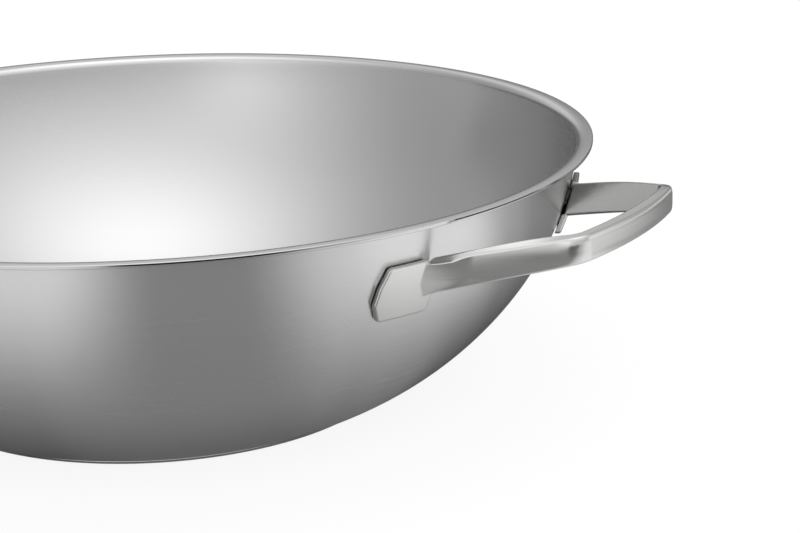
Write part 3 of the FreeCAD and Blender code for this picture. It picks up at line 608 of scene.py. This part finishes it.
OUTER = spun_steel("outer_brushed", (0.60, 0.605, 0.60), 0.25, 0.8, 0.3)
INNER = spun_steel("inner_satin", (0.575, 0.58, 0.575), 0.28, 0.6, 0.1, polish=0.6)
BASE = spun_steel("base_turned", (0.60, 0.60, 0.60), 0.16, 0.4, 0.6)
CORE = spun_steel("core_rolled", (0.78, 0.78, 0.79), 0.4, 0.2, 0.5)
HANDLE = drawn_steel("handle_satin", (0.60, 0.60, 0.59), 0.20)
WELD = drawn_steel("weld_dull", (0.30, 0.29, 0.28), 0.5)


def node_object(name):
    for o in bpy.data.objects:
        if o.name == name:
            return o
    raise SystemExit("no object for node " + name)


def dress(name, mat):
    o = node_object(name)
    me = o.data
    if len(o.material_slots) == 0:
        me.materials.append(mat)
    for s in o.material_slots:
        s.material = mat
    return o


for name, profile, cad, slot, mat in (
        ("bowl_cooking_surface", inner_skin_profile(), "bowl_inner_skin", "inner_steel", INNER),
        ("bowl_outer_wall", outer_skin_profile(), "bowl_outer_skin", "outer_steel", OUTER),
        ("base_disc", base_profile(), "base_plate", "base_steel", BASE)):
    ob = spin(name, profile)
    ob.data.materials.append(mat)
    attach(ob, "root")
    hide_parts(cad)
dress("bowl_core", CORE)
dress("weld_studs_right", WELD)
dress("weld_studs_left", WELD)

# ------------------------------------------------------------ handles
cell = 0.32
pos, faces = contour(handle_distance, (146.4, -80.1, 66.6), (219.0, 80.1, 99.9), cell)
right = mesh_piece("handle_loop_right", pos, faces)
flip = np.array([-1.0, 1.0, 1.0])
left = mesh_piece("handle_loop_left", pos * flip, faces[:, ::-1])
for ob, cad in ((right, "handle_right"), (left, "handle_left")):
    ob.data.materials.append(HANDLE)
    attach(ob, "root")
    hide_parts(cad)

# ------------------------------------------------------------ floor
def flat_sheet(name, corners, z):
    me = bpy.data.meshes.new(name)
    me.from_pydata([(x, y, z) for x, y in corners], [], [tuple(range(len(corners)))])
    ob = bpy.data.objects.new(name, me)
    scene.collection.objects.link(ob)
    return ob


F = 6.0
floor = flat_sheet("floor", [(-F, -F), (F, -F), (F, F), (-F, F)], 0.0)
fm, nt, b = new_material("floor_pale")
b.inputs["Base Color"].default_value = (0.92, 0.92, 0.92, 1)
b.inputs["Roughness"].default_value = 0.9
b.inputs["Specular IOR Level"].default_value = 0.1
lp = node(nt, "ShaderNodeLightPath")
glow = node(nt, "ShaderNodeEmission")
glow.inputs["Color"].default_value = (1, 1, 1, 1)
glow.inputs["Strength"].default_value = 1.02
seen_by = math_node(nt, "MULTIPLY", lp.outputs["Is Camera Ray"], 0.88)
fmix = node(nt, "ShaderNodeMixShader")
nt.links.new(seen_by, fmix.inputs[0])
nt.links.new(b.outputs[0], fmix.inputs[1])
nt.links.new(glow.outputs[0], fmix.inputs[2])
nt.links.new(fmix.outputs[0], [n for n in nt.nodes if n.type == "OUTPUT_MATERIAL"][0].inputs["Surface"])
b.inputs["Emission Color"].default_value = (1, 1, 1, 1)
b.inputs["Emission Strength"].default_value = 0.06
floor.data.materials.append(fm)

# A sheet on the floor that only reflections see paints the floor the steel reflects:
# painted reflection of a dark band in front of the pan, which gives the wall its dark upright band,
# painted shadow that darkens it towards the pan's foot, and a glow that paints lighter reflected tones.
painted_sheet = flat_sheet("dark_card", [(1.1 * math.cos(a), 1.1 * math.sin(a)) for a in
                                [2 * math.pi * k / 96 for k in range(96)]], 0.0006)
painted_sheet_mat, nt, b = new_material("painted_reflection_material")
tc = node(nt, "ShaderNodeTexCoord")
sep = node(nt, "ShaderNodeSeparateXYZ")
nt.links.new(tc.outputs["Object"], sep.inputs[0])
rad = math_node(nt, "SQRT", math_node(nt, "ADD", math_node(nt, "MULTIPLY", sep.outputs[0], sep.outputs[0]),
                                      math_node(nt, "MULTIPLY", sep.outputs[1], sep.outputs[1])))


def smooth_range(nt, value, a, b, c, d):
    out = map_range(nt, value, a, b, c, d)
    out.node.interpolation_type = "SMOOTHSTEP"
    return out


around = math_node(nt, "ADD", math_node(nt, "DIVIDE", math_node(nt, "ARCTAN2", sep.outputs[1], sep.outputs[0]),
                                        2 * math.pi), 0.5)


def by_azimuth(nt, stops):
    """Grey value against azimuth in degrees, eased between the stops."""
    n = node(nt, "ShaderNodeValToRGB")
    n.color_ramp.interpolation = "EASE"
    el = n.color_ramp.elements
    while len(el) < len(stops):
        el.new(0.5)
    for e, (a, v) in zip(el, stops):
        e.position = a / 360.0 + 0.5
        e.color = (v, v, v, 1.0)
    nt.links.new(around, n.inputs[0])
    bw = node(nt, "ShaderNodeRGBToBW")
    nt.links.new(n.outputs[0], bw.inputs[0])
    return bw.outputs[0]


# painted reflection and shade: how clear the sheet is at each azimuth; low values darken the floor the steel reflects
painted_shade_az = by_azimuth(nt, [(-120, 1.0), (-74, 1.0), (-52, 0.02), (-38, 0.02), (-18, 0.86), (-5, 1.0), (13, 1.0),
                           (31, 0.52), (42, 0.34), (60, 0.27), (110, 0.30), (170, 1.0)])
painted_band_az = by_azimuth(nt, [(-78, 0.0), (-52, 1.0), (-38, 1.0), (-15, 0.0)])
painted_fill_az = by_azimuth(nt, [(-25, 0.0), (-6, 0.18), (14, 0.18), (28, 0.0)])
near = by_azimuth(nt, [(-175, 1.0), (-80, 0.7), (-58, 0.8), (-50, 1.0), (-15, 0.35), (0, 0.50), (17, 1.1), (60, 1.0), (120, 1.0)])
# painted shadow: the reflected floor darkens towards the pan's foot, by an amount that changes with azimuth
foot = math_node(nt, "POWER", smooth_range(nt, rad, 0.100, 0.300, 0.25, 1.0), near)
# painted shade: far out in front of the pan the reflected floor goes dark
painted_far_az = by_azimuth(nt, [(-65, 0.0), (-58, 1.0), (-31, 1.0), (-20, 0.5), (5, 0.12), (20, 0.0)])
painted_far_shade = math_node(nt, "ADD", 1.0, math_node(nt, "MULTIPLY", painted_far_az, smooth_range(nt, rad, 0.47, 0.52, 0.0, -0.98)))
clear = math_node(nt, "MULTIPLY", math_node(nt, "MULTIPLY", painted_shade_az, foot), painted_far_shade)
# well in front of the grip the sheet is open, so the painted reflection on the grip's face stays light
painted_grip_az = by_azimuth(nt, [(5, 0.0), (18, 1.0), (28, 0.95), (40, 0.55), (54, 0.05), (70, 0.0)])
painted_grip_light = math_node(nt, "MULTIPLY", painted_grip_az, smooth_range(nt, rad, 0.40, 0.50, 0.0, 1.0))
clear = math_node(nt, "ADD", clear, math_node(nt, "MULTIPLY", painted_grip_light, math_node(nt, "SUBTRACT", 1.0, clear)))
# painted reflection: the sheet glows, giving the wall's dark band a set grey tone and adding a lighter fill
painted_glow = math_node(nt, "MULTIPLY", math_node(nt, "MULTIPLY", painted_band_az, 0.30),
                   math_node(nt, "MULTIPLY", painted_far_shade, smooth_range(nt, rad, 0.096, 0.150, 0.5, 1.0)))
painted_glow = math_node(nt, "ADD", painted_glow, math_node(nt, "MULTIPLY", painted_fill_az, smooth_range(nt, rad, 0.16, 0.28, 0.0, 1.0)))
comb = node(nt, "ShaderNodeCombineColor")
for k in range(3):
    nt.links.new(clear, comb.inputs[k])
nt.nodes.remove(b)
painted_shade_bsdf = node(nt, "ShaderNodeBsdfTransparent")
nt.links.new(comb.outputs[0], painted_shade_bsdf.inputs["Color"])
painted_glow_bsdf = node(nt, "ShaderNodeEmission")
nt.links.new(painted_glow, painted_glow_bsdf.inputs["Strength"])
both = node(nt, "ShaderNodeAddShader")
nt.links.new(painted_shade_bsdf.outputs[0], both.inputs[0])
nt.links.new(painted_glow_bsdf.outputs[0], both.inputs[1])
nt.links.new(both.outputs[0], [n for n in nt.nodes if n.type == "OUTPUT_MATERIAL"][0].inputs["Surface"])
painted_sheet.data.materials.append(painted_sheet_mat)
painted_sheet.visible_camera = False
painted_sheet.visible_diffuse = False
painted_sheet.visible_shadow = False

# The studio behind the table is dark up to a little above the horizon; only
# the rounded edges of the rim and handles catch it.
BACK = [math.radians(a) for a in range(75, 191, 5)]
me = bpy.data.meshes.new("dark_surround")
ring = [(0.50, 0.0008), (1.09, 0.0008), (1.09, 0.44)]
vs = [(r * math.cos(a), r * math.sin(a), z) for a in BACK for r, z in ring]
me.from_pydata(vs, [], [(3 * i + j, 3 * i + 3 + j, 3 * i + 4 + j, 3 * i + 1 + j)
                        for i in range(len(BACK) - 1) for j in (0, 1)])
surround = bpy.data.objects.new("dark_surround", me)
scene.collection.objects.link(surround)
sm, nt, b = new_material("surround_dark")
nt.nodes.remove(b)
tc = node(nt, "ShaderNodeTexCoord")
sep = node(nt, "ShaderNodeSeparateXYZ")
nt.links.new(tc.outputs["Object"], sep.inputs[0])
thin = smooth_range(nt, sep.outputs[2], 0.27, 0.42, 0.27, 0.92)
comb = node(nt, "ShaderNodeCombineColor")
for k in range(3):
    nt.links.new(thin, comb.inputs[k])
veil = node(nt, "ShaderNodeBsdfTransparent")
nt.links.new(comb.outputs[0], veil.inputs["Color"])
nt.links.new(veil.outputs[0], [n for n in nt.nodes if n.type == "OUTPUT_MATERIAL"][0].inputs["Surface"])
me.materials.append(sm)
surround.visible_camera = False
surround.visible_diffuse = False
surround.visible_shadow = False

# ------------------------------------------------------------ light
# A soft white tent: brightest overhead, a broad key from the right and above,
# a low glow from the left.
world = bpy.data.worlds.new("studio")
scene.world = world
world.use_nodes = True
wn = world.node_tree
bg = wn.nodes["Background"]
bg.inputs["Color"].default_value = (1, 1, 1, 1)
tc = node(wn, "ShaderNodeTexCoord")


def lobe(azimuth, elevation, power, strength):
    a, e = math.radians(azimuth), math.radians(elevation)
    d = node(wn, "ShaderNodeVectorMath", operation="DOT_PRODUCT")
    wn.links.new(tc.outputs["Generated"], d.inputs[0])
    d.inputs[1].default_value = (math.cos(e) * math.cos(a), math.cos(e) * math.sin(a), math.sin(e))
    up = math_node(wn, "MAXIMUM", d.outputs["Value"], 0.0)
    return math_node(wn, "MULTIPLY", math_node(wn, "POWER", up, float(power)), strength)


LEVEL = 1.12
total = math_node(wn, "ADD", lobe(-30, 60, 2, 0.70), lobe(0, 90, 8, 0.72))
total = math_node(wn, "ADD", total, lobe(-90, 0, 6, 0.46))
total = math_node(wn, "ADD", total, lobe(-83, 9, 40, 0.32))
total = math_node(wn, "ADD", total, lobe(131, 26, 12, 0.35))
total = math_node(wn, "ADD", total, lobe(38, 2, 24, 0.70))
total = math_node(wn, "ADD", total, 0.43)
total = math_node(wn, "MULTIPLY", total, LEVEL)
lp = node(wn, "ShaderNodeLightPath")
seen = math_node(wn, "MULTIPLY", lp.outputs["Is Camera Ray"], 1.0)
mixed = node(wn, "ShaderNodeMix", data_type="FLOAT")
wn.links.new(seen, mixed.inputs[0])
wn.links.new(total, mixed.inputs[2])
mixed.inputs[3].default_value = 1.0
wn.links.new(mixed.outputs[0], bg.inputs["Strength"])

# ------------------------------------------------------------ camera
cam = bpy.data.cameras.new("camera")
cam.sensor_fit = "HORIZONTAL"
cam.sensor_width = 36.0
cam.lens = 2131.6 / 800.0 * 36.0
cam.clip_start = 0.01
cam.clip_end = 50.0
camera = bpy.data.objects.new("camera", cam)
scene.collection.objects.link(camera)
camera.matrix_world = Matrix((
    (0.8672492, -0.1226579, 0.48252861, 0.51147624),
    (0.49730677, 0.25967711, -0.82780056, -0.67629281),
    (-0.02376535, 0.95787412, 0.28620337, 0.29779081),
    (0, 0, 0, 1)))
scene.camera = camera
scene.view_settings.view_transform = "Standard"
